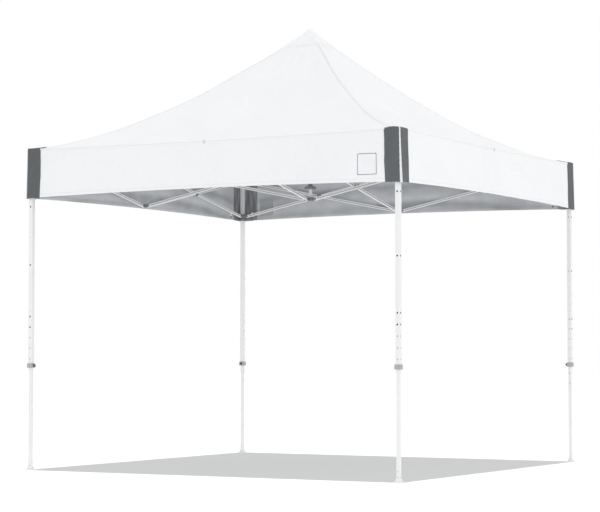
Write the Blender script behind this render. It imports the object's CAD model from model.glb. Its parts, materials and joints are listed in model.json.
"""A square folding canopy: four legs, scissor bars, a centre pole and a white fabric roof.

Metres, +Z up, floor at z = 0, centre pole on the Z axis. The front faces -Y, the right side +X.
Sides run front, right, back, left. Corner k joins side k-1 to side k and carries leg k.
"along" is the place along a side, rising anticlockwise as seen from above, 0 at its middle.
"""
import json
import math

import bmesh
import bpy
import numpy as np
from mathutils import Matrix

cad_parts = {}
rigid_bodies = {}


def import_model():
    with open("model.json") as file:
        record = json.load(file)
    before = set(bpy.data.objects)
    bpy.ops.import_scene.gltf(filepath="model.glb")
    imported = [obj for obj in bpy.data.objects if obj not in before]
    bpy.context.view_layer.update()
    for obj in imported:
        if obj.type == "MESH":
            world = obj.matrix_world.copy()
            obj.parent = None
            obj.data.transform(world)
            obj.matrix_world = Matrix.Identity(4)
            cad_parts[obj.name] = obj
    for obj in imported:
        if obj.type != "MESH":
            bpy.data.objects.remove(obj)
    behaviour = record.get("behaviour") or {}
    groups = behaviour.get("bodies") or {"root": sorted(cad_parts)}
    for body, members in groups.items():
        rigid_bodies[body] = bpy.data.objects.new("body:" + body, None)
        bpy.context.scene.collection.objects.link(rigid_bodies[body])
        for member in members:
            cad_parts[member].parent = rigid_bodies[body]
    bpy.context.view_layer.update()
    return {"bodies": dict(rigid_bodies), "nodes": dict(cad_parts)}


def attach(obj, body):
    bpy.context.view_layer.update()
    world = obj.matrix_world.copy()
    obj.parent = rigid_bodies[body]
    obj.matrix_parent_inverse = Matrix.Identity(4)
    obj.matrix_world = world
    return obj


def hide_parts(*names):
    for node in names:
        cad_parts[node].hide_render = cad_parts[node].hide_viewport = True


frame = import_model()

# ------------------------------------------------------------------ driving dimensions
HALF = 1.508                    # half width of the fabric
SHEET = 0.0013                  # thickness of the fabric
PEAK, EAVE, HEM = 3.288, 2.321, 1.963   # heights; eave and hem at the corners
LEG_AT = 1.485                  # distance of the leg axes from the middle, in x and in y
TOP_Z, LOW_Z = 2.288, 1.998     # heights of the upper and lower bar pivots
BEND = 0.008                    # corner radius of the valance
FLAT = HALF - BEND              # half length of a valance's straight part
ZONE = 0.154                    # each corner of the fabric stays with its leg for this far
SPAN = HALF - ZONE
TUCK = 0.003                    # the valance starts this far below the eave
DEPTH = 0.35                    # nominal depth of the valance in cloth coordinates
SIDES = ("front", "right", "back", "left")
LEGS = ("front_left", "front_right", "back_right", "back_left")
SIGNS = ((-1, -1), (1, -1), (1, 1), (-1, 1))    # of x and y, by corner
UP = np.array([0.0, 0.0, 1.0])


def smooth(x):
    x = np.clip(x, 0.0, 1.0)
    return x * x * (3 - 2 * x)


def bell(x, width):
    return np.exp(-(x / width) ** 2)


def wave(x, length, phase=0.0):
    return np.sin(2 * math.pi * x / length + phase)


def swell(x, size):
    """Rises from 0 to 1 at size, then fades."""
    return x / size * np.exp(1 - x / size)


def crowd(steps, dense=0.45):
    """Even steps that end at 1 (and -1), drawn closer together towards those ends."""
    return (1 - dense) * steps + dense * np.sin(math.pi / 2 * steps)


def turn(x, y, quarter):
    """A place in plan, turned by quarter turns anticlockwise."""
    return ((x, y), (-y, x), (-x, -y), (y, -x))[quarter % 4]


# ------------------------------------------------------------------ node helpers
class Net:
    """A node tree with short ways to add nodes; each helper returns the new output socket."""

    def __init__(self, tree, output):
        self.tree = tree
        tree.nodes.clear()
        self.out = tree.nodes.new(output)

    def node(self, kind, output=0, inputs=None, **props):
        node = self.tree.nodes.new(kind)
        for key, value in props.items():
            setattr(node, key, value)
        for key, value in (inputs or {}).items():
            self.put(node.inputs[key], value)
        return node.outputs[output]

    def put(self, socket, value):
        if isinstance(value, bpy.types.NodeSocket):
            self.tree.links.new(value, socket)
        elif isinstance(value, tuple) and len(value) == 3 and socket.type == "RGBA":
            socket.default_value = (*value, 1.0)
        else:
            socket.default_value = value

    def math(self, op, *values, clamp=False):
        return self.node("ShaderNodeMath", inputs=dict(enumerate(values)),
                         operation=op, use_clamp=clamp)

    def times(self, value, by, clamp=False):
        return self.math("MULTIPLY", value, by, clamp=clamp)

    def mix(self, fac, first, second, kind="MIX"):
        return self.node("ShaderNodeMixRGB", inputs={0: fac, 1: first, 2: second}, blend_type=kind)

    def coords(self, output="Object"):
        return self.node("ShaderNodeTexCoord", output)

    def height(self, place):
        return self.node("ShaderNodeSeparateXYZ", 2, {0: place})

    def attr(self, name):
        return self.node("ShaderNodeAttribute", "Fac", attribute_name=name)

    def scaled(self, place, scale):
        return self.node("ShaderNodeMapping", inputs={"Vector": place, "Scale": scale})

    def noise(self, place, scale, detail=3.0, rough=0.55):
        return self.node("ShaderNodeTexNoise", "Fac", {
            "Vector": place, "Scale": scale, "Detail": detail, "Roughness": rough})

    def ramp(self, value, of, to=(0.0, 1.0)):
        return self.node("ShaderNodeMapRange", "Result", {
            "Value": value, "From Min": of[0], "From Max": of[1],
            "To Min": to[0], "To Max": to[1]})

    def bump(self, height, strength, distance, under=None):
        inputs = {"Strength": strength, "Distance": distance, "Height": height}
        if under is not None:
            inputs["Normal"] = under
        return self.node("ShaderNodeBump", "Normal", inputs)

    def shader(self, kind, **inputs):
        return self.node(kind, inputs={k.replace("_", " "): v for k, v in inputs.items()})

    def split_by_camera(self, lit, seen):
        """Ends the tree: light sees the first shader, the camera the second."""
        camera_ray = self.node("ShaderNodeLightPath", "Is Camera Ray")
        return self.finish(self.node("ShaderNodeMixShader",
                                     inputs={0: camera_ray, 1: lit, 2: seen}))

    def finish(self, shader):
        self.put(self.out.inputs["Surface"], shader)

    def principled(self, **inputs):
        self.finish(self.shader("ShaderNodeBsdfPrincipled", **inputs))
        return self.mat


def material_net(name):
    mat = bpy.data.materials.new(name)
    mat.use_nodes = True
    net = Net(mat.node_tree, "ShaderNodeOutputMaterial")
    net.mat = mat
    return net


def tint(colour, factor):
    return tuple(c * factor for c in colour)


# ------------------------------------------------------------------ materials
def powder_coat(name, base, scuffed, dirt):
    """Painted steel: orange peel, uneven gloss, small scuffs and a little grime near the ground."""
    net = material_net(name)
    place = net.coords()
    peel = net.noise(place, scale=620.0, detail=2.0)
    sway = net.noise(place, scale=45.0, detail=2.0)
    tone = net.noise(place, scale=7.0, detail=4.0, rough=0.6)
    streak = net.noise(net.scaled(place, (160.0, 160.0, 16.0)), scale=1.0, detail=5.0, rough=0.7)
    scuff = net.times(net.ramp(streak, of=(0.62, 0.72)),
                      net.ramp(net.noise(place, scale=11.0), of=(0.5, 0.62)), clamp=True)
    low = net.ramp(net.height(place), of=(0.0, 0.10), to=(0.22, 0.0))
    specks = net.noise(place, scale=60.0, detail=5.0, rough=0.65)
    grime = net.times(low, net.ramp(specks, of=(0.42, 0.66)), clamp=True)
    colour = net.mix(net.ramp(tone, of=(0.3, 0.7)), tint(base, 0.972), base)
    colour = net.mix(net.times(scuff, by=0.14), colour, scuffed)
    colour = net.mix(grime, colour, dirt)
    rough = net.math("ADD", net.ramp(sway, of=(0.25, 0.75), to=(0.36, 0.48)),
                     net.times(scuff, by=0.2))
    normal = net.bump(scuff, strength=0.15, distance=0.0003)
    normal = net.bump(sway, strength=0.12, distance=0.0012, under=normal)
    normal = net.bump(peel, strength=0.22, distance=0.0004, under=normal)
    return net.principled(Base_Color=colour, Roughness=rough, Normal=normal,
                          Coat_Weight=0.08, Coat_Roughness=0.3)


def moulding(name, base, worn):
    """Glass filled nylon: sandy grain, flow marks, pale rubbed spots and uneven gloss."""
    net = material_net(name)
    place = net.coords()
    grain = net.noise(place, scale=900.0, detail=2.0, rough=0.7)
    cloud = net.noise(place, scale=55.0, detail=4.0, rough=0.6)
    rub = net.ramp(net.noise(place, scale=170.0, detail=5.0, rough=0.7), of=(0.56, 0.74))
    colour = net.mix(net.ramp(cloud, of=(0.3, 0.7)), tint(base, 0.82), tint(base, 1.12))
    colour = net.mix(net.times(rub, by=0.35), colour, worn)
    rough = net.math("ADD", net.ramp(cloud, of=(0.25, 0.75), to=(0.46, 0.6)),
                     net.times(rub, by=0.12))
    normal = net.bump(cloud, strength=0.15, distance=0.0008)
    normal = net.bump(grain, strength=0.35, distance=0.00025, under=normal)
    return net.principled(Base_Color=colour, Roughness=rough, Normal=normal)


def steel(name, base, dark):
    """Zinc plated steel: fine marks and dull patches."""
    net = material_net(name)
    place = net.coords()
    marks = net.noise(net.scaled(place, (900.0, 900.0, 2500.0)), scale=1.0, rough=0.6)
    cloud = net.noise(place, scale=240.0, rough=0.6)
    return net.principled(
        Base_Color=net.mix(net.ramp(cloud, of=(0.35, 0.7)), dark, base),
        Roughness=net.ramp(cloud, of=(0.3, 0.7), to=(0.24, 0.42)),
        Metallic=net.ramp(cloud, of=(0.2, 0.8), to=(0.75, 0.95)),
        Normal=net.bump(marks, strength=0.2, distance=0.0002))


def weave(net, pitch):
    """Plain weave: threads along cloth_u and cloth_v that pass over and under."""
    places = net.attr("cloth_u"), net.attr("cloth_v")
    wobble = net.times(net.noise(net.coords(), scale=260.0, detail=2.0), by=0.5)
    over = net.times(*(net.math("SINE", net.math("ADD", net.times(at, math.pi / pitch), wobble))
                       for at in places))
    slub = net.noise(net.scaled(net.coords(), (60.0, 60.0, 900.0)), scale=1.0, rough=0.6)
    return net.math("ADD", net.times(over, by=0.5), slub)


def stitches(net, pitch=0.0036, half_width=0.0007, dashes=-0.7, dip_reach=0.004):
    """Stitches where the sheet's seam attribute is 0: mask of the thread, dip of the seam."""
    away = net.math("ABSOLUTE", net.attr("seam"))
    line = net.math("LESS_THAN", away, half_width)
    runs = [net.math("SINE", net.times(net.attr(name), 2 * math.pi / pitch))
            for name in ("cloth_u", "cloth_v")]
    dash = net.math("GREATER_THAN", net.math("ADD", *runs), dashes)
    dip = net.ramp(away, of=(0.0, dip_reach))
    return net.times(line, dash), dip


def cloth(name, light, shade, thread, pitch, sheen=0.12, rough=(0.74, 0.86), coat=0.0,
          strong=0.35, relief=None, border=None):
    """Woven cloth. relief is the fold height that shades it fully, border an edge line's colour."""
    net = material_net(name)
    place = net.coords()
    tone = net.noise(place, scale=2.3, detail=4.0)
    mottle = net.noise(place, scale=30.0, detail=4.0, rough=0.6)
    crease = net.noise(net.scaled(place, (1.0, 1.0, 1.7)), scale=6.5, rough=0.5)
    threads = weave(net, pitch)
    colour = net.mix(net.ramp(tone, of=(0.3, 0.72)), shade, light)
    colour = net.mix(net.ramp(mottle, of=(0.3, 0.7), to=(0.0, 0.05)), colour, tint(shade, 0.6))
    if relief:
        # the slack folds catch more and less of the light from below
        dimmer, brighter = (0.70, 0.70, 0.705), (1.30, 1.30, 1.30)
        lift = net.ramp(net.attr("fold"), of=(-relief, relief))
        lift = net.math("ADD", lift, net.ramp(crease, of=(0.3, 0.7), to=(-0.16, 0.16)), clamp=True)
        colour = net.mix(lift, net.mix(1.0, colour, dimmer, kind="MULTIPLY"),
                         net.mix(1.0, colour, brighter, kind="MULTIPLY"))
    mark, dip = stitches(net)
    colour = net.mix(net.times(mark, by=0.7), colour, thread)
    colour = net.mix(net.ramp(dip, of=(0.0, 1.0), to=(0.10, 0.0)), colour, tint(shade, 0.45))
    if border:
        # a printed line just inside the row of stitches
        away = net.math("ABSOLUTE", net.math("SUBTRACT", net.attr("seam"), 0.0022))
        colour = net.mix(net.ramp(away, of=(0.0020, 0.0014)), colour, border)
    gloss = net.math("ADD", net.ramp(mottle, of=(0.3, 0.7), to=rough), net.times(mark, by=-0.1))
    normal = net.bump(crease, strength=0.16, distance=0.006)
    normal = net.bump(dip, strength=0.35, distance=0.0012, under=normal)
    normal = net.bump(threads, strength=strong, distance=0.00035, under=normal)
    normal = net.bump(mark, strength=0.5, distance=0.0006, under=normal)
    return net.principled(Base_Color=colour, Roughness=gloss, Normal=normal, Sheen_Weight=sheen,
                          Sheen_Roughness=0.45, Coat_Weight=coat, Coat_Roughness=0.45)


PAINT = powder_coat("white_powder_coat", base=(0.90, 0.90, 0.905), scuffed=(0.52, 0.52, 0.52),
                    dirt=(0.50, 0.49, 0.47))
GREY_NYLON = moulding("grey_nylon", base=(0.225, 0.238, 0.25), worn=(0.42, 0.43, 0.44))
PALE_NYLON = moulding("pale_nylon", base=(0.44, 0.45, 0.46), worn=(0.62, 0.63, 0.64))
DARK_NYLON = moulding("dark_nylon", base=(0.10, 0.105, 0.11), worn=(0.24, 0.245, 0.25))
ZINC = steel("zinc_rivet", base=(0.62, 0.62, 0.63), dark=(0.36, 0.37, 0.38))
HOLE_DARK = moulding("hole_liner", base=(0.016, 0.017, 0.018), worn=(0.05, 0.05, 0.05))
HOLE_PALE = moulding("hole_over_inner_tube", base=(0.60, 0.605, 0.61), worn=(0.68, 0.68, 0.685))
GROOVE = moulding("groove_shadow_grey", base=(0.42, 0.425, 0.43), worn=(0.50, 0.50, 0.51))

COATED = dict(pitch=0.0007, sheen=0.03, rough=(0.5, 0.62), coat=0.08, strong=0.25)
ROOF_CLOTH = cloth("polyester_outside", light=(0.945, 0.948, 0.952), shade=(0.915, 0.920, 0.928),
                   thread=(0.80, 0.81, 0.82), pitch=0.0007)
UNDER_CLOTH = cloth("polyester_coated_inside", light=(0.51, 0.525, 0.545),
                    shade=(0.44, 0.455, 0.475), thread=(0.46, 0.48, 0.50), relief=0.007, **COATED)
VALANCE_INSIDE = cloth("valance_coated_inside", light=(0.575, 0.588, 0.607),
                       shade=(0.50, 0.513, 0.532), thread=(0.50, 0.51, 0.53), relief=0.006,
                       **COATED)
SLATE = cloth("slate_oxford", light=(0.122, 0.131, 0.136), shade=(0.100, 0.109, 0.114),
              thread=(0.26, 0.27, 0.28), pitch=0.0011, sheen=0.06, rough=(0.7, 0.84), strong=0.5)
LINING = cloth("corner_lining", light=(0.280, 0.289, 0.298), shade=(0.185, 0.193, 0.201),
               thread=(0.24, 0.25, 0.26), pitch=0.0011, sheen=0.05, rough=(0.7, 0.84),
               strong=0.5, relief=0.004)
LABEL_BACK = cloth("label_pocket", light=(0.43, 0.443, 0.46), shade=(0.39, 0.403, 0.42),
                   thread=(0.42, 0.43, 0.44), pitch=0.0009, sheen=0.04, rough=(0.6, 0.75),
                   strong=0.4)
WEBBING = cloth("white_webbing", light=(0.90, 0.902, 0.905), shade=(0.84, 0.845, 0.85),
                thread=(0.70, 0.70, 0.71), pitch=0.0012, strong=0.55)
TAPE = cloth("seam_tape", light=(0.90, 0.905, 0.915), shade=(0.86, 0.865, 0.875),
             thread=(0.74, 0.75, 0.76), pitch=0.0009, strong=0.35)
LABEL = cloth("blank_label", light=(0.93, 0.932, 0.94), shade=(0.90, 0.903, 0.91),
              thread=(0.86, 0.86, 0.87), pitch=0.0008, strong=0.3, border=(0.030, 0.055, 0.27))


# ------------------------------------------------------------------ mesh helpers
def add_object(name, data):
    ob = bpy.data.objects.new(name, data)
    bpy.context.scene.collection.objects.link(ob)
    return ob


def make(name, verts, faces, mats, slots, sharp, attrs=None):
    """A smooth object with a material slot per face; edges over sharp degrees stay sharp."""
    mesh = bpy.data.meshes.new(name)
    mesh.from_pydata([tuple(map(float, v)) for v in verts], [],
                     [tuple(int(i) for i in f) for f in faces])
    for mat in mats:
        mesh.materials.append(mat)
    mesh.polygons.foreach_set("material_index", np.asarray(slots, np.int32))
    mesh.polygons.foreach_set("use_smooth", np.full(len(faces), True))
    for key, values in (attrs or {}).items():
        layer = mesh.attributes.new(key, "FLOAT", "POINT")
        layer.data.foreach_set("value", np.asarray(values, np.float32))
    mesh.validate()
    mesh.update()
    mesh.set_sharp_from_angle(angle=math.radians(sharp))
    return add_object(name, mesh)


# where each vertex of a sheet is weighed for the hooks: both faces use the outer
# one's place, so the sheet keeps its thickness when it moves
WEIGHED_AT = {}


def shell(name, outer, inner, mats, cloth_uv, seam, fold=None, loop=False, fan=False, sharp=60):
    """A closed sheet from two grids of one shape: rows from top to bottom, columns along.

    The inner face takes the last material. loop joins the last column to the first, fan
    closes row 0 to a point instead of an edge.
    """
    rows, cols = outer.shape[:2]
    count = rows * cols
    outer_verts = outer.reshape(-1, 3)
    verts = np.concatenate([outer_verts, inner.reshape(-1, 3)])
    tips = [outer[0].mean(0)] * 2 if fan else np.empty((0, 3))
    WEIGHED_AT[name] = np.concatenate([outer_verts, outer_verts, tips])

    quads = cols if loop else cols - 1
    row, col = (grid.ravel() for grid in
                np.meshgrid(np.arange(rows - 1), np.arange(quads), indexing="ij"))
    here, there = row * cols + col, row * cols + (col + 1) % cols
    below_here, below_there = here + cols, there + cols
    first, second = np.arange(quads), (np.arange(quads) + 1) % cols
    last = (rows - 1) * cols
    faces = [np.stack([here, below_here, below_there, there], 1),
             np.stack([here, there, below_there, below_here], 1) + count,
             np.stack([first, count + first, count + second, second], 1) + last]
    if not fan:
        faces.append(np.stack([first, second, count + second, count + first], 1))
    if not loop:
        left = np.arange(rows - 1) * cols
        right = left + cols - 1
        faces += [np.stack([left, count + left, count + left + cols, left + cols], 1),
                  np.stack([right, right + cols, count + right + cols, count + right], 1)]
    faces = [tuple(face) for face in np.concatenate(faces)]
    inner_slot = len(mats) - 1
    slots = np.zeros(len(faces))
    slots[len(here):2 * len(here)] = inner_slot
    if fan:
        verts = np.concatenate([verts, [outer[0].mean(0), inner[0].mean(0)]])
        for i, j in zip(first, second):
            faces += [(2 * count, i, j), (2 * count + 1, count + j, count + i)]
        slots = np.concatenate([slots, [0, inner_slot] * quads])

    attrs = {"cloth_u": cloth_uv[0], "cloth_v": cloth_uv[1], "seam": seam}
    if fold is not None:
        attrs["fold"] = fold
    for key, values in attrs.items():
        values = np.broadcast_to(values, (rows, cols)).reshape(-1)
        tip = [values[:cols].mean()] * 2 if fan else []
        attrs[key] = np.concatenate([values, values, tip])
    return make(name, verts, faces, mats, slots, sharp, attrs)


def thin_rim(shape, edge):
    """1 over a grid, and edge round its border."""
    rim = np.full(shape, edge)
    rim[1:-1, 1:-1] = 1.0
    return rim


# ------------------------------------------------------------------ the roof's surface
# long, shallow waves over the whole roof: wavelength, direction in radians, height, phase
WAVES = ((0.62, 0.35, 0.0021, 0.4), (0.47, 1.25, 0.0015, 2.1),
         (0.80, 2.15, 0.0026, 4.0), (0.55, 2.85, 0.0016, 5.2))


def eave_z(along):
    """The eave sags 12 mm at the middle of a side."""
    part = np.clip(along / HALF, -1, 1)
    return EAVE - (1 - part * part) * 0.012


def roof_flat(x, y):
    """Height of the roof without folds: concave hips, sagging panels and a rounded tip."""
    size_x, size_y = np.abs(x), np.abs(y)
    far, near = np.maximum(size_x, size_y), np.minimum(size_x, size_y)
    part = np.clip(far / HALF, 0, 1)
    to_hip = near / np.maximum(far, 1e-6)
    hip = EAVE + (PEAK - EAVE) * np.power(np.clip(1 - part, 0, None), 1.55)
    z = hip - (1 - to_hip * to_hip) * (0.012 * part ** 6 + 0.034 * 4 * part * (1 - part))
    radius = np.hypot(x, y)
    tip_round, tip_slope, tip_reach = 0.014, 0.85, 0.06
    dome = PEAK - tip_slope * (np.sqrt(radius * radius + tip_round ** 2) - tip_round)
    blend = smooth(radius / tip_reach)
    return blend * z + (1 - blend) * dome


def roof_fold(x, y):
    """Folds and creases of the roof, none at the eave or at the tip."""
    size_x, size_y = np.abs(x), np.abs(y)
    far, near = np.maximum(size_x, size_y), np.minimum(size_x, size_y)
    off_hip = 1 - near / np.maximum(far, 1e-6)
    radius = np.hypot(x, y)
    inset = HALF - far
    side = np.where(size_y >= size_x, np.where(y < 0, 0, 2), np.where(x > 0, 1, 3))
    along = np.choose(side, [x, y, -x, -y])
    fold = 0.0
    for length, angle, height, phase in WAVES:
        fold = fold + height * wave(x * math.cos(angle) + y * math.sin(angle), length, phase)
    # slack folds that run along the eave, a hand's width up the slope, and wider ones above
    bow = 0.10 * np.cos(along * 1.05) + 0.02 * np.sin(along * 2.3 + side * 1.7)
    fold = fold + (0.0044 * wave(inset + bow, 0.125 + 0.02 * np.sin(side * 2.1 + along * 1.4))
                   * bell(inset - 0.17, 0.15) * smooth(off_hip / 0.22))
    fold = fold + (0.0022 * wave(inset + 0.6 * bow, 0.21, side)
                   * bell(inset - 0.52, 0.3) * smooth(off_hip / 0.3))
    # folds that pull out of the corners
    inset_x, inset_y = HALF - size_x, HALF - size_y
    angle = np.arctan2(inset_y - inset_x, inset_x + inset_y)
    fold = fold + (0.0036 * np.sin(17 * angle + side * 0.9) * swell(np.hypot(inset_x, inset_y), 0.4)
                   * smooth(np.abs(angle) / 0.18) * smooth((0.78 - np.abs(angle)) / 0.2))
    # folds that pull down from the peak
    angle = np.arctan2(y, x)
    fold = fold + (0.0026 * np.sin(20 * angle + 1.3 * np.sin(3 * angle)) * swell(radius, 0.3)
                   * smooth(off_hip / 0.2))
    # small puckers beside the hip seams
    from_hip = (far - near) / math.sqrt(2)
    fold = fold + (0.0009 * wave(far, 0.046, 2 * np.sin(far * 9))
                   * bell(from_hip, 0.03) * smooth(from_hip / 0.006))
    return fold * smooth(inset / 0.07) * smooth((radius - 0.04) / 0.22)


def roof_z(x, y):
    return roof_flat(x, y) + roof_fold(x, y)


def roof_point(x, y, off):
    """A point of the roof's outside at (x, y), moved off along the surface's normal."""
    step = 0.0015
    slope_x = (roof_z(x + step, y) - roof_z(x - step, y)) / (2 * step)
    slope_y = (roof_z(x, y + step) - roof_z(x, y - step)) / (2 * step)
    normal = np.stack([-slope_x, -slope_y, np.ones_like(slope_x)], -1)
    normal /= np.linalg.norm(normal, axis=-1, keepdims=True)
    # near the tip the normal is held upright so that an inner sheet never crosses itself
    normal[..., :2] *= smooth(np.hypot(x, y) / 0.03)[..., None]
    normal /= np.linalg.norm(normal, axis=-1, keepdims=True)
    return np.stack([x, y, roof_z(x, y)], -1) + normal * np.asarray(off)[..., None]


# ------------------------------------------------------------------ the fold: hooks on the bodies
PLEATS = 6


def pleat(along):
    """How far a place lags behind the legs in the fold, 0 at the corners and the middle."""
    part = np.clip((along + SPAN) / (2 * SPAN), 0, 1)
    return 0.5 - 0.5 * np.cos(2 * math.pi * PLEATS * part)


def hook_weights(places):
    """Weight of each body that pulls on the fabric at the given places."""
    x, y, z = places.T
    outward = np.maximum(np.abs(x), np.abs(y)) / HALF
    rigid = smooth((outward - 0.75) / 0.17)
    on_front_back = np.abs(y) >= np.abs(x)
    folds = np.where(on_front_back, pleat(x), pleat(y))
    lag = 0.040 * folds * smooth((outward - 0.15) / 0.6) * (0.3 + 0.7 * rigid)

    def share(at, lags):
        part = np.clip(rigid * np.clip(at / SPAN, -1, 1) + (1 - rigid) * at / HALF, -1, 1)
        return np.where(lags, part * (1 - lag / np.maximum(np.abs(part), 0.2)), part)

    share_x, share_y = share(x, ~on_front_back), share(y, on_front_back)
    rise = np.clip((z - EAVE) / (PEAK - EAVE), 0, 1)
    drop = 0.74 * rise ** 1.3 - (0.035 * folds * smooth((1 - outward) / 0.12)
                                 * smooth(rise / 0.1) * smooth((1 - rise) / 0.3))
    weights = {"leg_" + leg: (1 + sign_x * share_x) * (1 + sign_y * share_y) / 4
               for leg, (sign_x, sign_y) in zip(LEGS, SIGNS)}
    weights["lower_hub"] = np.where(z > EAVE + 0.001, np.clip(drop, 0, 1), 0)
    return weights


VALANCE_STEPS = crowd(np.linspace(-1, 1, 113)) * FLAT   # columns of the valance along a side


def weights_at(side, along):
    """The valance's own hook weights along a side, straight between its columns."""
    x, y = turn(VALANCE_STEPS, -HALF * np.ones_like(VALANCE_STEPS), side)
    height = np.full_like(x, 2.2)       # any height below the eave
    table = hook_weights(np.stack([x, y, height], 1))
    return {body: np.interp(along, VALANCE_STEPS, weight) for body, weight in table.items()}


def hang(ob, weights=None):
    """The piece belongs to the hub's body; hooks carry it with the four legs and the lower hub."""
    if weights is None:
        weights = hook_weights(WEIGHED_AT[ob.name])
    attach(ob, "hub")
    levels = 5000       # weights are rounded, so that equal ones are added in one call
    for body, weight in weights.items():
        group = ob.vertex_groups.new(name="hook_" + body)
        level = np.round(weight * levels).astype(int)
        for value in np.unique(level):
            if value > 0:
                group.add(np.nonzero(level == value)[0].tolist(), value / float(levels), "REPLACE")
        hook = ob.modifiers.new("hook_" + body, "HOOK")
        hook.object = frame["bodies"][body]
        hook.vertex_group = group.name
        hook.falloff_type = "NONE"
        hook.strength = 1.0


def carry(ob, body):
    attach(ob, body)


# ------------------------------------------------------------------ the valance's surface
# A column is x, y, outward normal x and y, side, along. Columns come as six arrays.
FLARE = ((-0.007, -0.006), (0.014, -0.003), (0.007, 0.006), (-0.006, 0.006))    # at the hem, x y
# ripples towards the hem, by side: wavelength, height, phase
RIPPLE = (
    ((0.46, 0.0042, 0.3), (0.31, 0.0024, 1.9), (0.83, 0.0034, 4.4)),
    ((0.41, 0.0036, 2.2), (0.29, 0.0022, 0.4), (0.95, 0.0042, 1.2)),
    ((0.50, 0.0042, 4.1), (0.34, 0.0024, 2.9), (0.77, 0.0030, 0.1)),
    ((0.44, 0.0038, 1.1), (0.27, 0.0022, 5.0), (0.88, 0.0036, 2.6)),
)


def straight(side, places):
    return [(*turn(along, -HALF, side), *turn(0.0, -1.0, side), side, along) for along in places]


def bend(side, steps):
    """Columns round the corner at the end of a side."""
    columns = []
    for j in range(1, steps):
        angle = -math.pi / 2 + (math.pi / 2) * j / steps
        x, y = FLAT + BEND * math.cos(angle), -FLAT + BEND * math.sin(angle)
        columns.append((*turn(x, y, side), *turn(math.cos(angle), math.sin(angle), side),
                        side, HALF))
    return columns


def as_arrays(columns):
    """Six arrays of one row each, ready to meet a column of heights."""
    return np.array(columns).T[:, None, :]


def corner_columns(corner, back, ahead, count=26):
    """Columns from back along the side before a corner, round it, and ahead along the next."""
    before = (corner - 1) % 4
    return as_arrays(straight(before, np.linspace(HALF - back, FLAT, count)) + bend(before, 8)
                     + straight(corner, np.linspace(-FLAT, -(HALF - ahead), count)))


def run_length(columns):
    x, y = columns[0, 0], columns[1, 0]
    return np.concatenate([[0], np.cumsum(np.hypot(np.diff(x), np.diff(y)))])


def swag(side, along, down):
    """Slack folds of a valance, from -1 to 1: low at the corners and higher in the middle."""
    bow = 0.105 * np.cos(math.pi * along / (2 * HALF)) + 0.012 * np.sin(3.1 * along + 1.7 * side)
    fold = wave(0.35 * down + bow, 0.150 + 0.012 * np.sin(1.3 * along + side), 0.9 * side)
    fold = fold + 0.35 * wave(0.35 * down + 1.4 * bow, 0.083, 2.3 * side + 1.1 * along)
    return (fold / 1.35 * smooth(down / 0.22) * (0.72 + 0.28 * np.sin(2.2 * along + 1.3 * side))
            * smooth((HALF - np.abs(along) - 0.03) / 0.2))


def valance_shift(x, y, normal_x, normal_y, side, along, down):
    """How far the fabric stands off its flat place, down from 0 at the eave to 1 at the hem."""
    out = np.zeros(np.broadcast(x, down).shape)
    window = smooth((HALF - np.abs(along) - 0.05) / 0.28)
    for i, ripples in enumerate(RIPPLE):
        ripple = 0.0
        for length, height, phase in ripples:
            ripple = ripple + height * (0.5 + 0.5 * wave(along, length, phase + 0.5 * down))
        out = out + np.where(side == i, ripple, 0)
    out = out * window * down ** 1.4
    out = out + 0.0010 * wave(along, 0.19, side) * window * np.sin(math.pi * down)
    # the back and left sides hang slacker
    slack = np.where((side == 2) | (side == 3), 0.0024, 0.0011)
    out = out + slack * (1 + swag(side, along, down)) * smooth(down / 0.2) * window
    shift_x, shift_y = out * normal_x, out * normal_y
    for (flare_x, flare_y), (sign_x, sign_y) in zip(FLARE, SIGNS):
        away = np.abs(x - sign_x * HALF) + np.abs(y - sign_y * HALF)
        weight = bell(away, 0.17) * down ** 1.25
        shift_x, shift_y = shift_x + flare_x * weight, shift_y + flare_y * weight
    return shift_x, shift_y


def hem_z(along):
    """The hem rises 16 mm at the middle of a side."""
    return HEM + 0.016 * (1 - (along / HALF) ** 2)


def valance_z(down, along):
    top = eave_z(along) - TUCK
    return top + (hem_z(along) - top) * down


def down_at(z, along):
    """The part of the way down the valance at a height; patches may hang just past the hem."""
    top = eave_z(along) - TUCK
    return np.clip((top - z) / (top - hem_z(along)), 0, 1.02)


def off_valance(columns, down, z, off):
    """Points at height z, off outwards from the fabric's outside."""
    x, y, normal_x, normal_y = columns[:4]
    shift_x, shift_y = valance_shift(*columns, down)
    return np.stack(np.broadcast_arrays(x + shift_x + normal_x * off,
                                        y + shift_y + normal_y * off, z), -1)


# ------------------------------------------------------------------ roof, valance, cap, seams
def four_sides(rings, reach, steps):
    """Square rings in plan: x, y, place along the side and distance from the middle."""
    parts = []
    for side in range(4):
        along = reach * np.outer(rings, steps)
        out = np.broadcast_to(reach * rings[:, None], along.shape)
        parts.append((*turn(along, -out, side), along, out))
    return [np.concatenate(part, 1) for part in zip(*parts)]


# the roof's edge turns down over the top of the valance: distance out, distance down
ROOF_LIP = ((0.0012, 0.0016), (0.0020, 0.0048), (0.0021, 0.0085), (0.0022, 0.0125),
            (0.0016, 0.0130))


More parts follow.
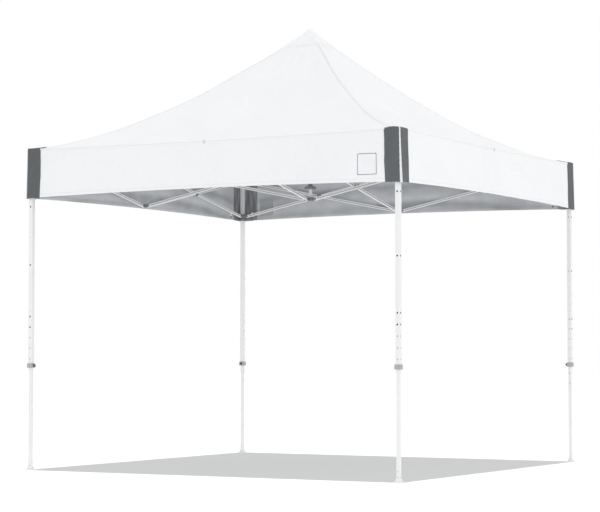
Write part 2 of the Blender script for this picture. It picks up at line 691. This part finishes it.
def build_roof():
    steps = crowd(np.linspace(-1, 1, 113))[:-1]
    first = 0.004       # the small ring round the tip
    rings = first + (1 - first) * crowd(np.linspace(0, 1, 74), dense=0.25)
    x, y, along, out = four_sides(rings, HALF, steps)
    outer, inner = roof_point(x, y, 0.0), roof_point(x, y, -SHEET)
    # outward directions of the edge's columns; a corner column points along both its sides
    count = len(steps)
    ways = np.zeros((2, 4 * count))
    for side in range(4):
        ways[:, side * count:(side + 1) * count] = np.array([turn(0.0, -1.0, side)]).T
        ways[:, side * count] += turn(0.0, -1.0, side - 1)
    wobble = 0.0006 * np.sin(np.concatenate([HALF * steps / 0.03 + side for side in range(4)]))
    edge_x, edge_y, edge_z = outer[-1].T
    lip_outer, lip_inner = [], []
    for reach, drop in ROOF_LIP:
        for lip, off, z in (
                (lip_outer, reach, edge_z - drop + (wobble if drop > 0.01 else 0)),
                (lip_inner, reach - SHEET, edge_z - drop - (0.0010 if drop < 0.003 else 0))):
            lip.append(np.stack([edge_x + ways[0] * off, edge_y + ways[1] * off, z], 1))
    drops = np.array([[-drop] for _, drop in ROOF_LIP]) * np.ones(4 * count)
    cloth_v = np.concatenate([HALF - out, drops])
    ob = shell("canopy_roof", np.concatenate([outer, lip_outer]),
               np.concatenate([inner, lip_inner]), [ROOF_CLOTH, UNDER_CLOTH],
               (np.concatenate([along, [along[-1]] * len(ROOF_LIP)]), cloth_v),
               seam=cloth_v + 0.0075,
               fold=np.concatenate([roof_fold(x, y), np.zeros_like(drops)]),
               loop=True, fan=True, sharp=50)
    hang(ob)
    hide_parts("canopy_top")


def build_valance():
    columns = as_arrays([column for side in range(4)
                         for column in straight(side, VALANCE_STEPS) + bend(side, 6)])
    down = np.concatenate([np.linspace(0, 0.925, 24), [0.93, 0.94, 0.965, 0.985, 0.996, 1.0]])
    # the hem is folded double, with a thinner last row
    hem = down > 0.926
    thick = np.where(hem, 0.0026, SHEET)
    off = np.where(hem, 0.0005, 0.0)
    off[-1] -= 0.0006
    thick[-1] -= 0.0012
    down, thick, off = down[:, None], thick[:, None], off[:, None]
    side, along = columns[4:]
    z = valance_z(down, along)
    cloth_v = (1 - down) * DEPTH
    hang(shell("canopy_valance", off_valance(columns, down, z, off),
               off_valance(columns, down, z, off - thick), [ROOF_CLOTH, VALANCE_INSIDE],
               (run_length(columns), cloth_v), seam=cloth_v - 0.0215,
               fold=0.0055 * swag(side, along, down), loop=True, sharp=50))


def build_cap():
    """The square cap over the peak, with a thicker border and slightly hollow sides."""
    steps = crowd(np.linspace(-1, 1, 41), dense=0.3)[:-1]
    rings = np.concatenate([np.linspace(0.03, 0.9, 12), [0.93, 0.96, 0.99, 1.0]])
    reach = 0.157 - 0.012 * (1 - steps * steps)
    x, y, along, out = four_sides(rings, reach, steps)
    rise = np.where(rings > 0.92, 0.0030, 0.0020)
    rise[-1] = 0.0012
    hang(shell("peak_cap", roof_point(x, y, rise[:, None]), roof_point(x, y, 0.0002),
               [ROOF_CLOTH], (along, out), seam=out - 0.131, loop=True, fan=True, sharp=50))


def build_hip(corner):
    """The tape along a hip, from the cap down to the corner."""
    part = np.linspace(0.085, 0.999, 90)[:, None]
    across = np.array([-0.0088, -0.0080, -0.0045, 0.0, 0.0045, 0.0080, 0.0088])
    sign_x, sign_y = SIGNS[corner]
    limit = HALF - 0.0002
    x = np.clip(sign_x * HALF * part - sign_y / math.sqrt(2) * across, -limit, limit)
    y = np.clip(sign_y * HALF * part + sign_x / math.sqrt(2) * across, -limit, limit)
    bottom, top = 0.0001, 0.0009
    rise = np.full(x.shape, top)
    rise[:, [0, -1]] = bottom + (top - bottom) * 0.35
    hang(shell("hip_seam_" + LEGS[corner], roof_point(x, y, rise), roof_point(x, y, bottom),
               [TAPE], (across, part * HALF * 1.6), seam=np.abs(across) - 0.0062, sharp=50))


# ------------------------------------------------------------------ corner pieces
PATCH_AHEAD, PATCH_BACK = 0.117, 0.115      # reach of a patch along side k, and along side k-1
LINING_AHEAD, LINING_BACK = 0.133, 0.152    # the same for the lining behind it
CORNER_SEAM = 0.007                         # its stitches' distance from the edge


def hump(away):
    """The patch's top edge bulges up a little along side k-1; away is from the corner."""
    return 0.003 * np.sin(math.pi * np.clip(away / PATCH_BACK, 0, 1)) ** 1.5


def build_patch(corner):
    """The slate patch round the outside of a valance corner."""
    columns = corner_columns(corner, PATCH_BACK, PATCH_AHEAD)
    x, y, normal_x, normal_y, side, along = columns
    edge = run_length(columns)
    far = np.minimum(edge, edge[-1] - edge)
    # round top corners, and a slightly lower tip at the corner of the hem
    radius = 0.018
    cut = np.where(far < radius,
                   radius - np.sqrt(np.maximum(radius ** 2 - (radius - far) ** 2, 0)), 0.0)
    from_corner = np.hypot(x - SIGNS[corner][0] * HALF, y - SIGNS[corner][1] * HALF)
    rows = np.concatenate([[0, 0.004, 0.012], np.linspace(0.03, 0.95, 20),
                           [0.975, 0.99, 1.0]])[:, None]
    ahead = side == corner
    top = eave_z(along) + 0.0016 - cut + np.where(ahead, 0.0, hump(HALF - np.abs(along)))
    bottom = hem_z(along) - 0.0022 - 0.004 * bell(from_corner, 0.02)
    z = top + (bottom - top) * rows
    down = down_at(z, along)
    # the free edges aren't quite straight, and the outer face bulges softly
    pull = smooth(1 - far / 0.05) * (0.0016 * wave(z, 0.26, 1.3 * corner)
                                     + 0.0006 * wave(z, 0.11, corner))
    crown = (0.0022 * wave(z, 0.23, 2 * corner) * smooth(far / 0.03) * smooth(down / 0.2)
             * smooth((from_corner - 0.012) / 0.03))
    rim = thin_rim(z.shape, 0.55)

    def face(off):
        points = off_valance(columns, down, z, off)
        points[..., 0] += np.where(ahead, -normal_y, normal_y) * pull
        points[..., 1] += np.where(ahead, normal_x, -normal_x) * pull
        return points

    cloth_v = rows * DEPTH
    border = np.minimum(far, np.minimum(cloth_v + 0.004, DEPTH + 0.004 - cloth_v))
    ob = shell("corner_patch_" + LEGS[corner], face(0.0040 * rim + (crown + 0.0006)),
               face(-0.0005), [SLATE], (edge, cloth_v), seam=border - CORNER_SEAM)
    carry(ob, "leg_" + LEGS[corner])


def build_lining(corner):
    """The grey lining on the inside of the valance's corner, with slack folds."""
    columns = corner_columns(corner, LINING_BACK, LINING_AHEAD, count=34)
    along = columns[5]
    edge = run_length(columns)
    far = np.minimum(edge, edge[-1] - edge)
    down = np.concatenate([np.linspace(0.035, 0.96, 26), [0.985, 0.998]])[:, None]
    z = valance_z(down, along)
    slack = (wave(edge + 0.05 * down, 0.047, corner) * np.sin(math.pi * down)
             + 0.6 * wave(edge - 0.11 * down, 0.081, 2.0))
    rim = thin_rim(z.shape, 0.5)
    face = -(0.0014 + 0.0022 * rim) + 0.0004 * slack * smooth(far / 0.02)
    cloth_v = down * DEPTH
    border = np.minimum(far, np.minimum(cloth_v, DEPTH - cloth_v))
    ob = shell("corner_lining_" + LEGS[corner], off_valance(columns, down, z, -0.0008),
               off_valance(columns, down, z, face), [LINING], (edge, cloth_v),
               seam=border - CORNER_SEAM, fold=0.0030 * slack)
    carry(ob, "leg_" + LEGS[corner])


def build_flap(corner):
    """The part of the patch that lies on the roof's corner: a quarter of a rounded square."""
    angle = np.linspace(0, math.pi / 2, 41)[::-1]
    cos, sin = np.cos(angle), np.sin(angle)
    inset, power = 0.002, 5.0
    reach = np.power(np.power(np.maximum(cos, 1e-9) / (PATCH_BACK - inset), power)
                     + np.power(np.maximum(sin, 1e-9) / (PATCH_AHEAD - inset), power), -1 / power)
    rings = np.concatenate([[0.02], np.linspace(0.1, 0.95, 17), [0.985, 1.0]])[:, None]
    back, ahead = rings * (reach * cos), rings * (reach * sin)
    x, y = turn(-HALF + ahead + 0.0002, -HALF + back + 0.0002, corner)
    rise = np.full(x.shape, 0.0034)
    rise[-1] = 0.0018
    lift = hump(back) * np.exp(-ahead / 0.035) * smooth((1.0 - rings) / 0.08)
    outer, inner = roof_point(x, y, rise), roof_point(x, y, 0.0004)
    outer[..., 2] += lift
    inner[..., 2] += lift
    ob = shell("corner_flap_" + LEGS[corner], outer, inner, [SLATE], (back, ahead),
               seam=(rings - 1) * 0.14 + 0.008)
    carry(ob, "leg_" + LEGS[corner])


def build_piping(corner):
    """The white strip that covers the seam between the two halves of a corner patch."""
    rows = np.linspace(0, 1, 30)[:, None]
    across = np.linspace(-1, 1, 11)
    corner_x, corner_y = (sign * HALF for sign in SIGNS[corner])
    diag_x, diag_y = (sign / math.sqrt(2) for sign in SIGNS[corner])
    top, bottom = EAVE + 0.003, 1.9565
    z = top + (bottom - top) * rows
    shift_x, shift_y = valance_shift(corner_x, corner_y, 0.0, 0.0, 0, HALF, down_at(z, HALF))
    sunk = BEND * (math.sqrt(2) - 1)        # from the square corner in to the rounded one
    base_x, base_y = corner_x + shift_x - diag_x * sunk, corner_y + shift_y - diag_y * sunk
    width = 0.0062 + 0.0028 * rows          # half width, wider at the hem
    lump = 0.0004 * np.sin(rows * 60)

    def face(out, reach):
        return np.stack(np.broadcast_arrays(base_x + diag_x * out - diag_y * reach,
                                            base_y + diag_y * out + diag_x * reach, z), -1)

    cloth_u = across * 0.007
    ob = shell("corner_piping_" + LEGS[corner],
               face(0.0066 + lump - 0.0052 * across * across, across * width),
               face(-0.0012 - 0.0045 * across * across, across * width * 0.95),
               [WEBBING], (cloth_u, rows * 0.36), seam=np.abs(cloth_u) - 0.0045)
    carry(ob, "leg_" + LEGS[corner])


# ------------------------------------------------------------------ sewn panels on the valance
def build_panel(name, side, start, end, low, high, off, thick, mat, radius=0.008, body=None):
    """A sewn piece on a valance: outside it where off is positive, inside where negative."""
    along, z = np.meshgrid(np.linspace(start, end, 30), np.linspace(high, low, 20))
    border = None
    # round the corners of the outline
    middle, half_wide = (start + end) / 2, (end - start) / 2
    half_high = (high - low) / 2
    near_end = np.clip((np.abs(z - (low + high) / 2) - (half_high - radius)) / radius, 0, 1)
    narrow = 1 - (radius / half_wide) * (1 - np.sqrt(1 - near_end ** 2 * 0.999))
    along = middle + (along - middle) * narrow
    border = np.minimum(np.minimum(along - start, end - along), np.minimum(z - low, high - z))
    columns = (*turn(along, -HALF * np.ones_like(along), side), *turn(0.0, -1.0, side),
               side, along)
    down = down_at(z, along)
    thickness = thick * thin_rim(along.shape, 0.4)
    outer_off, inner_off = (off + thickness, off) if off >= 0 else (off, off - thickness)
    ob = shell(name, off_valance(columns, down, z, outer_off),
               off_valance(columns, down, z, inner_off), [mat], (along, z), seam=border - 0.005)
    if body is None:
        hang(ob, weights_at(side, np.concatenate([along.reshape(-1)] * 2)))
    else:
        carry(ob, body)


def build_labels():
    # name, side, along from and to, z from and to, off, thickness, material
    build_panel("blank_label_front", 0, 1.192, 1.341, 2.012, 2.164, 0.0001, 0.0009, LABEL,
                radius=0.010)
    build_panel("sewn_patch_right", 1, 0.287, 0.525, 2.180, 2.230, 0.0001, 0.0007, ROOF_CLOTH)
    build_panel("sewn_patch_back", 2, 1.202, 1.329, 2.002, 2.142, -SHEET - 0.0001, 0.0009,
                LABEL_BACK)


def build_tabs(side):
    """Webbing tabs near the hem inside each corner, each with a dark hook."""
    width, inset = 0.026, 0.006
    # end, along, then off and thickness of the tab and of the hook, and the body they ride
    for end, start, tab, hook, body in (
            ("l", -1.347, (-SHEET - 0.0002, 0.0016), (-SHEET - 0.0014, 0.0012), None),
            ("r", 1.389, (-0.0030, 0.0010), (-0.0034, 0.0010), "leg_" + LEGS[(side + 1) % 4])):
        place, stop = f"{SIDES[side]}_{end}", start + width
        build_panel("webbing_tab_" + place, side, start, stop, 1.992, 2.034, *tab, WEBBING,
                    radius=0.003, body=body)
        build_panel("tab_hook_" + place, side, start + inset, stop - inset, 1.982, 1.998, *hook,
                    DARK_NYLON, radius=0.004, body=body)


# ------------------------------------------------------------------ hardware: shapes
class Spot:
    """A frame turned by quarter turns about z, with its origin at a place in plan."""

    def __init__(self, quarter, origin=(0.0, 0.0)):
        self.quarter = quarter
        self.origin = np.array([*origin, 0.0])

    def way(self, x, y, z=0.0):
        return np.array([*turn(x, y, self.quarter), z])

    def point(self, x, y, z):
        return self.way(x, y, z) + self.origin


class Parts:
    """Collects small turned and moulded shapes into one mesh."""

    def __init__(self):
        self.verts, self.faces, self.slots = [], [], []

    def add_face(self, face, slot):
        self.faces.append(tuple(face))
        self.slots.append(slot)

    def walls(self, base, rows, seg, slot, closed=False):
        """Quads between rows of seg vertices; closed joins the last row to the first."""
        for j in range(rows if closed else rows - 1):
            low, high = base + j * seg, base + (j + 1) % rows * seg
            for i in range(seg):
                ahead = (i + 1) % seg
                self.add_face((low + i, low + ahead, high + ahead, high + i), slot)

    def circles(self, origin, axis, profile, seg):
        base = len(self.verts)
        ref = UP if abs(axis[2]) < 0.9 else np.array([1.0, 0, 0])
        first = np.cross(axis, ref)
        first /= np.linalg.norm(first)
        second = np.cross(axis, first)
        for radius, height in profile:
            for i in range(seg):
                angle = 2 * math.pi * i / seg
                self.verts.append(origin + axis * height + radius * (
                    math.cos(angle) * first + math.sin(angle) * second))
        return base

    def lathe(self, origin, axis, profile, slot=0, seg=14):
        """A solid from (radius, height) pairs, from the base up, closed at both ends."""
        base = self.circles(origin, axis, profile, seg)
        rows = len(profile)
        self.walls(base, rows, seg, slot)
        centre = len(self.verts)
        self.verts += [origin + axis * profile[0][1], origin + axis * profile[-1][1]]
        top = base + (rows - 1) * seg
        for i in range(seg):
            ahead = (i + 1) % seg
            self.add_face((centre, base + ahead, base + i), slot)
            self.add_face((centre + 1, top + i, top + ahead), slot)

    def ring(self, origin, axis, section, slot, seg):
        """A closed ring from the (radius, height) pairs round its section."""
        base = self.circles(origin, axis, section, seg)
        self.walls(base, len(section), seg, slot, closed=True)

    def pad(self, centre, across, along, out, size, thick, slot=0, radius=0.0016):
        """A rounded pad, size across and along, rising by thick, with a bevelled top."""
        soft = min(1.0, thick / 0.0012)
        # inset and height of each layer
        layers = ((0.0, 0.0), (0.0, thick * 0.55), (0.0006 * soft, thick * 0.85),
                  (0.0016 * soft, thick))
        seg = 4         # vertices round each corner
        count = 4 * seg
        base = len(self.verts)
        for inset, height in layers:
            bevel = max(radius - inset * 0.5, 0.0004)
            reach_x, reach_y = size[0] / 2 - inset - bevel, size[1] / 2 - inset - bevel
            for quarter, (sign_x, sign_y) in enumerate(((1, 1), (-1, 1), (-1, -1), (1, -1))):
                for j in range(seg):
                    angle = math.radians(90 * quarter + 90 * j / (seg - 1))
                    self.verts.append(centre
                                      + across * (sign_x * reach_x + bevel * math.cos(angle))
                                      + along * (sign_y * reach_y + bevel * math.sin(angle))
                                      + out * height)
        self.walls(base, len(layers), count, slot)
        top = base + (len(layers) - 1) * count
        self.add_face(range(base + count - 1, base - 1, -1), slot)
        self.add_face(range(top, top + count), slot)

    def rivet(self, spot, reach, z, side, across_x=False):
        """Both heads of a fork's rivet, at reach along the fork's axis; side is the longer end.

        The rivet lies along the spot's y, or along its x where across_x is set.
        """
        for way, depth in ((side, 0.0168), (-side, 0.0042)):
            place, axis = (reach, way * depth), (0.0, way)
            if across_x:
                place, axis = place[::-1], axis[::-1]
            out = spot.way(*axis)
            self.lathe(spot.point(*place, z) - 0.0014 * out, out, HEAD)

    def build(self, name, mats):
        ob = make(name, self.verts, self.faces, mats, self.slots, sharp=38)
        work = bmesh.new()
        work.from_mesh(ob.data)
        bmesh.ops.recalc_face_normals(work, faces=work.faces)
        work.to_mesh(ob.data)
        work.free()
        return ob


# profiles and sections: radius, height
HEAD = ((0.0030, -0.0004), (0.0050, 0.0), (0.0052, 0.0006), (0.0046, 0.0014), (0.0030, 0.0020),
        (0.0012, 0.0022))
PIN_CAP = ((0.0056, -0.0012), (0.0060, 0.0), (0.0064, 0.0014), (0.0065, 0.0042),
           (0.0058, 0.0058), (0.0026, 0.0066))
LATCH_CAP = ((0.0080, -0.0010), (0.0094, 0.0), (0.0090, 0.0012), (0.0062, 0.0020),
             (0.0024, 0.0023))
HOLE_LINER = ((0.0040, 0.0), (0.0040, 0.0014), (0.0060, 0.0019), (0.0054, 0.0022),
              (0.0014, 0.0017))
EYELET = ((0.0026, 0.0), (0.0046, 0.0), (0.0044, 0.0008), (0.0036, 0.0011), (0.0027, 0.0007))
FLANGE = ((0.0203, 0.0), (0.0350, 0.0), (0.0372, 0.0022), (0.0372, 0.0210), (0.0350, 0.0235),
          (0.0262, 0.0245), (0.0203, 0.0290))
DISC = ((0.0190, -0.0002), (0.0212, 0.0008), (0.0214, 0.0030), (0.0200, 0.0040),
        (0.0125, 0.0042), (0.0110, 0.0030), (0.0082, 0.0030))
WASHER = ((0.0072, 0.0), (0.0078, 0.0002), (0.0078, 0.0008), (0.0072, 0.0010))

FORK = 0.045            # pivot distance from the axis of a leg or a hub
MID_FORK = 0.030        # pivot distance from the middle of a mid bracket
LEG_FACE = 0.01625      # half width of the upper leg
BAR_OFF = 0.0062        # the crossing bars lie this far each side of their common plane
BAR_THICK = 0.011
BAR_GAP = 2 * BAR_OFF - BAR_THICK


def find_holes():
    """Heights of the round holes in the upper leg's front face, read off the CAD mesh."""
    mesh = frame["nodes"]["upper_leg_front_left"].data
    verts = np.empty(len(mesh.vertices) * 3)
    mesh.vertices.foreach_get("co", verts)
    verts = verts.reshape(-1, 3)
    low, high = verts.min(0), verts.max(0)
    front = verts[np.abs(verts[:, 1] - low[1]) < 2e-4]
    rims = front[np.abs(front[:, 0] + LEG_AT) < 0.006]
    heights = np.unique(np.round(rims[:, 2], 4))
    heights = heights[(heights > low[2] + 0.005) & (heights < high[2] - 0.005)]
    groups = []
    for z in heights:
        if groups and z - groups[-1][-1] < 0.012:
            groups[-1].append(z)
        else:
            groups.append([z])
    return [float((group[0] + group[-1]) / 2) for group in groups]


# ------------------------------------------------------------------ hardware: pieces
def build_leg_parts(corner, holes):
    leg = LEGS[corner]
    spot = Spot(corner, [sign * LEG_AT for sign in SIGNS[corner]])
    inward = spot.way(1, 0)

    top = Parts()
    top.rivet(spot, FORK, TOP_Z, -1)
    top.rivet(spot, FORK, TOP_Z, -1, across_x=True)
    carry(top.build("rivets_leg_top_" + leg, [ZINC]), "leg_" + leg)

    slider = Parts()
    slider.rivet(spot, FORK, LOW_Z, 1)
    slider.rivet(spot, FORK, LOW_Z, 1, across_x=True)
    # cap of the pull pin, with a waist
    slider.lathe(spot.point(0.034, 0.0, LOW_Z - 0.022), inward, PIN_CAP, 1)
    carry(slider.build("rivets_slider_" + leg, [ZINC, DARK_NYLON]), "slider_" + leg)

    # liners of the round holes; the white inner tube stands behind the lowest three
    liners = Parts()
    for i, z in enumerate(holes):
        for x, y in ((0, -1), (-1, 0)):
            out = spot.way(x, y)
            face = spot.point(x * LEG_FACE, y * LEG_FACE, z)
            liners.lathe(face - out * 0.0016, out, HOLE_LINER, 1 if i < 3 else 0)
    carry(liners.build("hole_liners_" + leg, [HOLE_DARK, HOLE_PALE]), "leg_" + leg)

    latch = Parts()
    latch.lathe(spot.point(0.0339, 0.0, 0.751), inward, LATCH_CAP)
    carry(latch.build("latch_cap_" + leg, [DARK_NYLON]), "collar_latch_" + leg)


def build_side_parts(side):
    spot = Spot(side, turn(0.0, -LEG_AT, side))
    across, out = spot.way(1, 0), spot.way(0, -1)
    for name, z, sign in (("mid_top_bracket_", TOP_Z, 1), ("mid_bottom_bracket_", LOW_Z, -1)):
        parts = Parts()
        for way in (1, -1):
            parts.rivet(spot, way * MID_FORK, z, sign)
        parts.rivet(spot, MID_FORK, z, -sign, across_x=True)
        # a raised pad on the block's outward face
        parts.pad(spot.point(0.0, -0.0134, z), across, UP, out, (0.020, 0.018), 0.0012, slot=1)
        name += SIDES[side]
        carry(parts.build("rivets_" + name, [ZINC, GREY_NYLON]), name)

    # the tab at the middle of the eave, with a ring on it
    tab = Parts()
    centre = Spot(side).point(0.0, -HALF - 0.0022, 2.3005)
    tab.pad(centre, across, UP, out, (0.019, 0.024), 0.0016, radius=0.003)
    tab.ring(centre + out * 0.0014 - UP * 0.003, out, EYELET, slot=0, seg=20)
    ob = tab.build("eave_tab_" + SIDES[side], [WEBBING, ZINC])
    verts = np.array([v.co[:] for v in ob.data.vertices])
    along = turn(verts[:, 0], verts[:, 1], -side)[0]
    hang(ob, weights=weights_at(side, along))


def build_hub_parts():
    for name, z, sign, body in (("top_hub", TOP_Z, 1, "hub"),
                                ("lower_hub", LOW_Z, -1, "lower_hub")):
        parts = Parts()
        for quarter in range(4):
            parts.rivet(Spot(quarter), -FORK, z, sign, across_x=True)
        if name == "top_hub":
            # the flange at the foot of the guide tube, with four lugs
            parts.ring(np.array([0, 0, 2.0715]), UP, FLANGE, slot=1, seg=40)
            for quarter in range(4):
                spot = Spot(quarter)
                parts.pad(spot.point(0.0, -0.0355, 2.083), spot.way(1, 0), UP, spot.way(0, -1),
                          (0.030, 0.020), 0.0065, slot=1, radius=0.003)
        carry(parts.build("rivets_" + name, [ZINC, GREY_NYLON]), body)


def build_bar_parts(name, spot, start, end, side):
    """End plugs and face channels of a bar between two (x, z) pivots, side +1 or -1 of centre.

    The bar on the +1 side also carries the discs and rivet of the crossing.
    """
    parts = Parts()
    length = math.hypot(end[0] - start[0], end[1] - start[1])
    unit_x, unit_z = (end[0] - start[0]) / length, (end[1] - start[1]) / length
    mid = np.array([(start[0] + end[0]) / 2, side * BAR_OFF, (start[1] + end[1]) / 2])
    along, across = np.array([unit_x, 0, unit_z]), np.array([-unit_z, 0, unit_x])
    along_way, across_way = spot.way(*along), spot.way(*across)
    for end_sign in (-1, 1):
        centre = mid + along * end_sign * (length / 2 + 0.0110)
        parts.pad(spot.point(*centre), across_way, spot.way(0, 1), along_way * end_sign,
                  (0.0212, 0.0104), 0.0012)
    # a channel along each face, clear of the crossing: two rails and a shadow-grey floor
    for face in (1, -1):
        outer_face = face == side
        first, last = (0.0235 if outer_face else 0.012), length / 2 - 0.024
        proud = 0.0007 if outer_face else 0.0004
        # place across the bar, width, height above the face, material slot
        strips = ((0.0069, 0.0074, proud, 2), (-0.0069, 0.0074, proud, 2),
                  (0.0, 0.0068, proud * 0.3, 3))
        for half in (1, -1):
            for offset, width, thick, slot in strips:
                centre = (mid + along * (half * (first + last) / 2) + across * offset
                          + np.array([0, face * 0.00548, 0]))
                parts.pad(spot.point(*centre), along_way, across_way, spot.way(0, face),
                          (last - first, width), thick, slot, radius=0.0010)
    if side > 0:
        for way, depth in ((-1, BAR_THICK / 2 + BAR_GAP + BAR_THICK), (1, BAR_THICK / 2)):
            face, out = spot.point(mid[0], mid[1] + way * depth, mid[2]), spot.way(0, way)
            parts.lathe(face, out, DISC, seg=28)
            parts.lathe(face + out * 0.0030, out, HEAD, 1)
        # the nylon washer between the two bars
        parts.lathe(spot.point(mid[0], mid[1] - 0.0057, mid[2]), spot.way(0, -1), WASHER)
    carry(parts.build("plugs_" + name, [GREY_NYLON, ZINC, PAINT, GROOVE]), name)


def build_bars(side):
    name = SIDES[side]
    side_spot = Spot(side, turn(0.0, -LEG_AT, side))
    # name, frame, x of the first and the second pivot
    for pattern, spot, first, second in (
            (f"side_bar_%s_{name}_l", side_spot, -MID_FORK, -(LEG_AT - FORK)),
            (f"side_bar_%s_{name}_r", side_spot, MID_FORK, LEG_AT - FORK),
            (f"centre_bar_%s_{name}", Spot(side - 1), FORK, LEG_AT - MID_FORK)):
        build_bar_parts(pattern % "falling", spot, (first, TOP_Z), (second, LOW_Z), 1)
        build_bar_parts(pattern % "rising", spot, (first, LOW_Z), (second, TOP_Z), -1)


# ------------------------------------------------------------------ CAD nodes: finishes, soft edges
# start of the node's name, material, bevel width; the first match counts
FINISHES = (
    (("upper_leg", "lower_leg", "side_bar", "centre_bar", "peak_pole"), PAINT, 0.0007),
    (("collar_latch",), DARK_NYLON, 0.0006),
    (("collar",), PALE_NYLON, 0.0009),
    (("",), GREY_NYLON, 0.0008),
)


def shade_group():
    """Drops custom normals and shades smooth across edges under 34 degrees."""
    group = bpy.data.node_groups.new("soft_shade", "GeometryNodeTree")
    for way in ("INPUT", "OUTPUT"):
        group.interface.new_socket("Geometry", in_out=way, socket_type="NodeSocketGeometry")
    new, link = group.nodes.new, group.links.new
    source, result = new("NodeGroupInput"), new("NodeGroupOutput")
    remove = new("GeometryNodeRemoveAttribute")
    remove.inputs["Name"].default_value = "custom_normal"
    faces = new("GeometryNodeSetShadeSmooth")
    faces.domain = "FACE"
    faces.inputs["Shade Smooth"].default_value = True
    angle = new("GeometryNodeInputMeshEdgeAngle")
    blunt = new("ShaderNodeMath")
    blunt.operation = "LESS_THAN"
    blunt.inputs[1].default_value = math.radians(34)
    edges = new("GeometryNodeSetShadeSmooth")
    edges.domain = "EDGE"
    link(source.outputs[0], remove.inputs["Geometry"])
    link(remove.outputs[0], faces.inputs["Geometry"])
    link(faces.outputs[0], edges.inputs["Geometry"])
    link(angle.outputs["Unsigned Angle"], blunt.inputs[0])
    link(blunt.outputs[0], edges.inputs["Shade Smooth"])
    link(edges.outputs[0], result.inputs[0])
    return group


def dress_cad():
    group = shade_group()
    for name, ob in frame["nodes"].items():
        if name == "canopy_top":
            continue
        mat, width = next(finish[1:] for finish in FINISHES if name.startswith(finish[0]))
        for slot in ob.material_slots:
            slot.material = mat
        ob.modifiers.new("weld", "WELD").merge_threshold = 0.00002
        ob.modifiers.new("shade", "NODES").node_group = group
        bevel = ob.modifiers.new("edges", "BEVEL")
        bevel.width = width
        bevel.segments = 2
        bevel.limit_method = "ANGLE"
        bevel.angle_limit = math.radians(38)
        bevel.use_clamp_overlap = True
        ob.modifiers.new("normals", "WEIGHTED_NORMAL").keep_sharp = False


# ------------------------------------------------------------------ stage, light and camera
def build_floor():
    """A wide floor that glows softly and is plain white to the camera, apart from shadows."""
    mesh = bpy.data.meshes.new("floor")
    count = 9
    grid = np.linspace(-60, 60, count)
    verts = [(float(x), float(y), -0.0005) for y in grid for x in grid]
    corners = [j * count + i for j in range(count - 1) for i in range(count - 1)]
    mesh.from_pydata(verts, [], [(c, c + 1, c + count + 1, c + count) for c in corners])
    mesh.update()
    floor = add_object("floor", mesh)
    net = material_net("pale_floor")
    glow = net.shader("ShaderNodeEmission", Color=(0.995, 1.0, 1.003), Strength=0.535)
    matt = net.shader("ShaderNodeBsdfDiffuse", Color=(0.11, 0.11, 0.11))
    seen = net.node("ShaderNodeAddShader", inputs={0: glow, 1: matt})
    even = net.shader("ShaderNodeEmission", Color=(1.0, 1.0, 1.0), Strength=1.0)
    net.split_by_camera(even, seen)
    mesh.materials.append(net.mat)
    return floor


def add_sun(name, energy, angle):
    light = bpy.data.lights.new(name, "SUN")
    light.energy = energy
    light.angle = math.radians(angle)
    return add_object(name, light)


def build_lights(floor):
    # a lamp straight above that only the floor receives, so the floor's shadow is flat and crisp
    only = bpy.data.collections.new("floor_light")
    only.objects.link(floor)
    overhead = add_sun("overhead", energy=14.5, angle=0.4)
    overhead.light_linking.receiver_collection = only
    # broad, soft lamps: degrees right of the camera's heading, tilt from straight down
    heading = 29.4
    for around, tilt, energy, angle in ((60.0, 52.0, 0.36, 80.0), (-75.0, 60.0, 0.16, 90.0)):
        lamp = add_sun("soft", energy, angle)
        lamp.rotation_euler = (math.radians(tilt), 0, math.radians(heading + around))


def build_world():
    """White to the camera; as light, a pale sky that is brighter overhead."""
    world = bpy.data.worlds.new("studio")
    bpy.context.scene.world = world
    world.use_nodes = True
    net = Net(world.node_tree, "ShaderNodeOutputWorld")
    seen = net.shader("ShaderNodeBackground", Color=(1.0, 1.0, 1.0), Strength=1.0)
    strength = net.ramp(net.height(net.coords("Generated")), of=(0.0, 0.9), to=(0.80, 0.94))
    lit = net.shader("ShaderNodeBackground", Color=(0.985, 0.995, 1.0), Strength=strength)
    net.split_by_camera(lit, seen)


def build_camera():
    camera = bpy.data.cameras.new("camera")
    camera.sensor_width = 36.0
    camera.lens = 124.22
    camera.clip_end = 300
    ob = add_object("camera", camera)
    ob.location = (7.5636, -13.5908, 0.8482)
    ob.rotation_euler = tuple(math.radians(v) for v in (92.6575, 0.0, 29.385))
    bpy.context.scene.camera = ob
    view = bpy.context.scene.view_settings
    view.view_transform = "Standard"
    view.look = "None"


# ------------------------------------------------------------------ build it
build_roof()
build_valance()
build_cap()
for k in range(4):
    build_hip(k)
    build_patch(k)
    build_lining(k)
    build_flap(k)
    build_piping(k)
build_labels()
for k in range(4):
    build_tabs(k)
hole_heights = find_holes()
for k in range(4):
    build_leg_parts(k, hole_heights)
for k in range(4):
    build_side_parts(k)
build_hub_parts()
for k in range(4):
    build_bars(k)
dress_cad()
build_lights(build_floor())
build_world()
build_camera()
